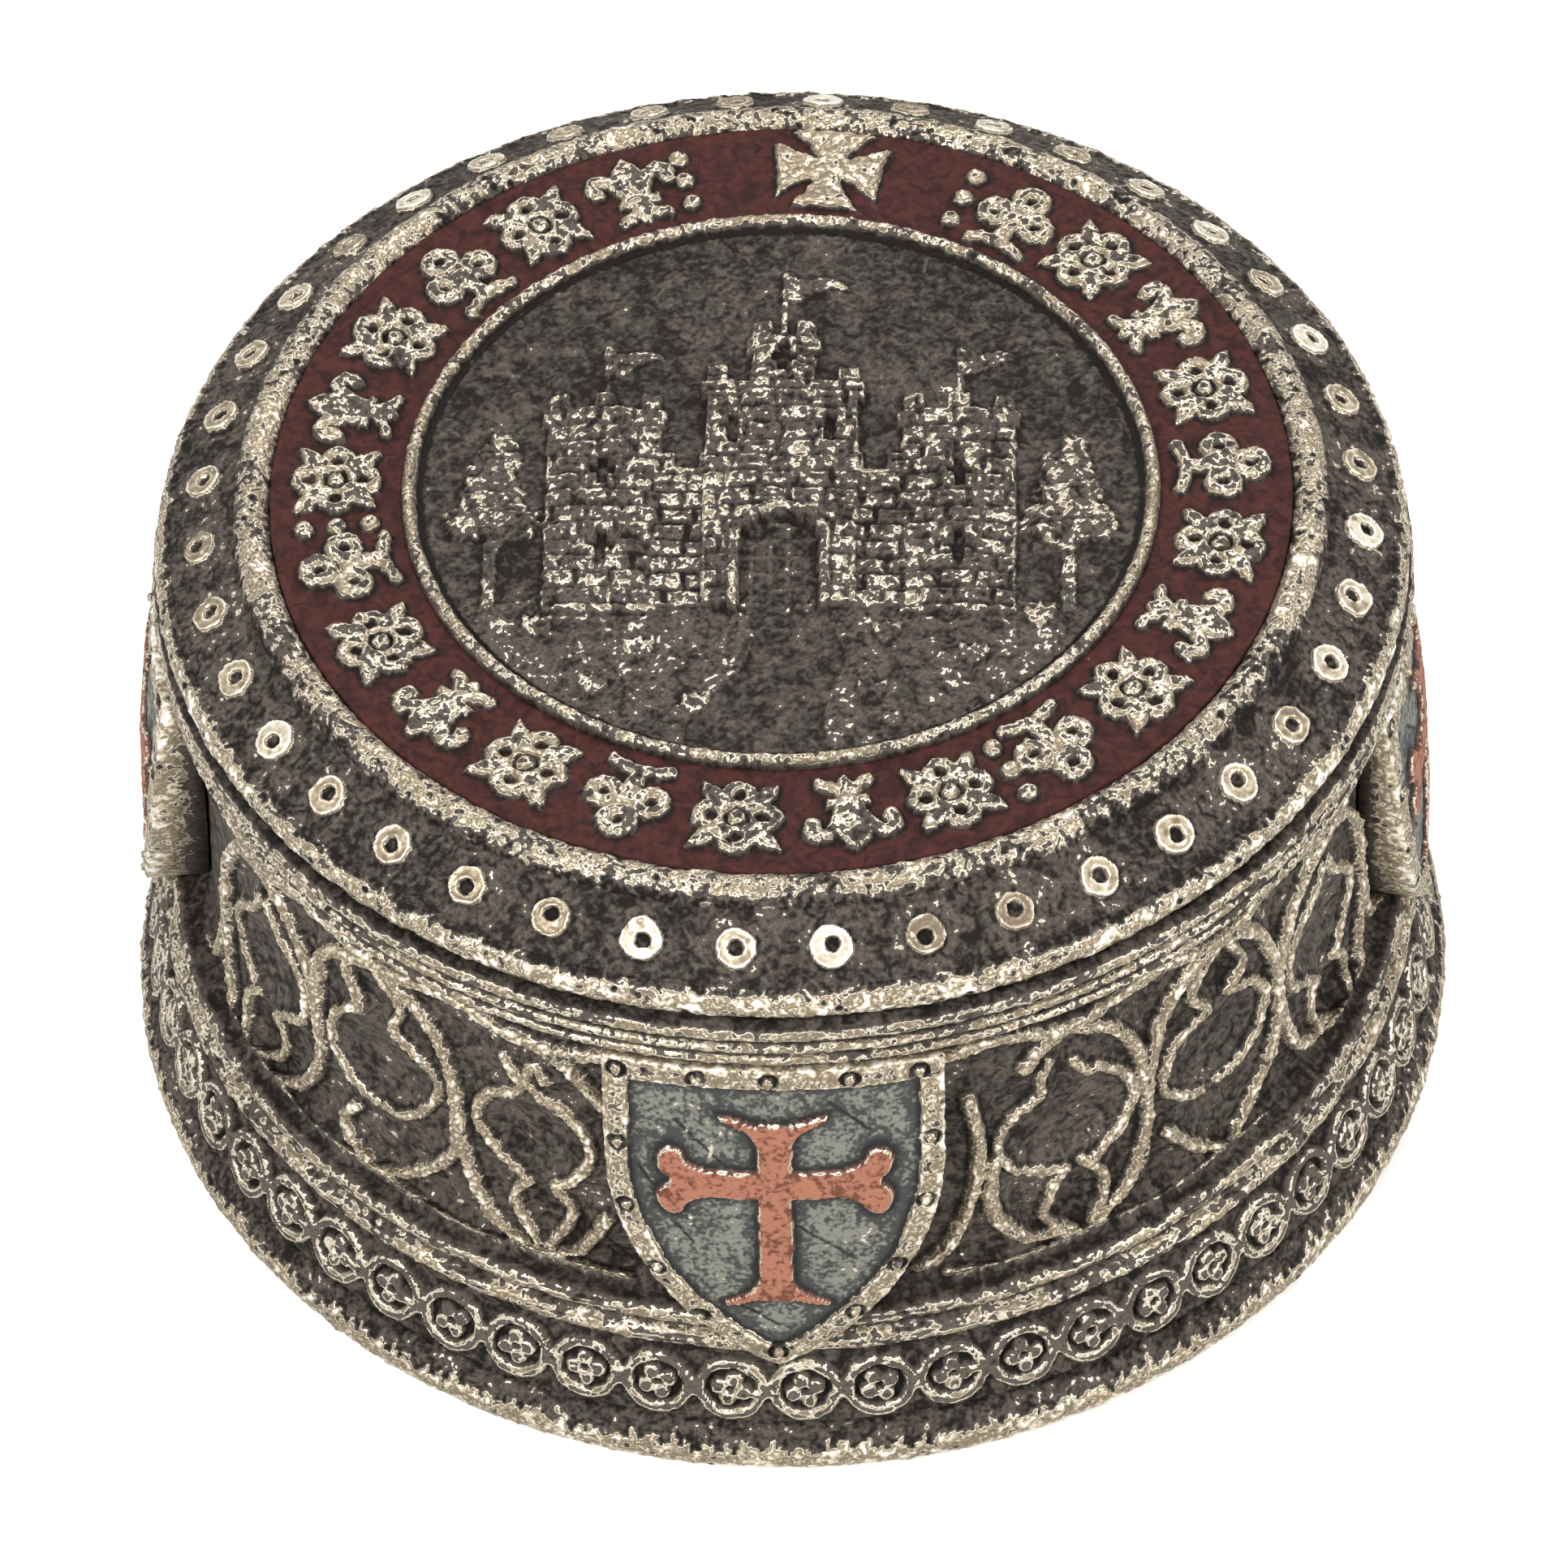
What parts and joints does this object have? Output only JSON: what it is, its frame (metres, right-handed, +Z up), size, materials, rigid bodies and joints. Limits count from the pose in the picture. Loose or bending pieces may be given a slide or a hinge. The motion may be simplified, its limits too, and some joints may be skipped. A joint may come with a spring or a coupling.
{
  "type": "round trinket box",
  "caption": "Round cast trinket box with a lift-off studded lid, a tracery frieze, applied heater shields, a roundel band and a felt pad underneath.",
  "frame": {"origin": "centre of the felt pad's underside, on the axis of the box", "axes": "+Z up along the axis of the box; -Y out through the front shield; +X to the right seen from the front"},
  "size_m": [0.096, 0.096, 0.0518],
  "materials": {
    "body_bronze": "cold-cast bronze, dark patina with rubbed pale-gold edges",
    "lid_bronze": "cold-cast bronze, dark patina with rubbed pale-gold edges and an oxblood painted field",
    "shield_paint": "cold-cast bronze, scratched blue-grey paint, brick-red painted cross, rubbed gold border",
    "felt": "short black felt"
  },
  "bodies": {
    "base": {"box_body": "body_bronze", "front_shield": "shield_paint", "right_shield": "shield_paint", "back_shield": "shield_paint", "left_shield": "shield_paint", "felt_pad": "felt"},
    "lid": {"lid": "lid_bronze"}
  },
  "joints": [
    {"name": "lid_lift", "type": "slide", "parent": "base", "child": "lid", "axis": [0, 0, 1], "range_m": [0, 0.06]}
  ]
}
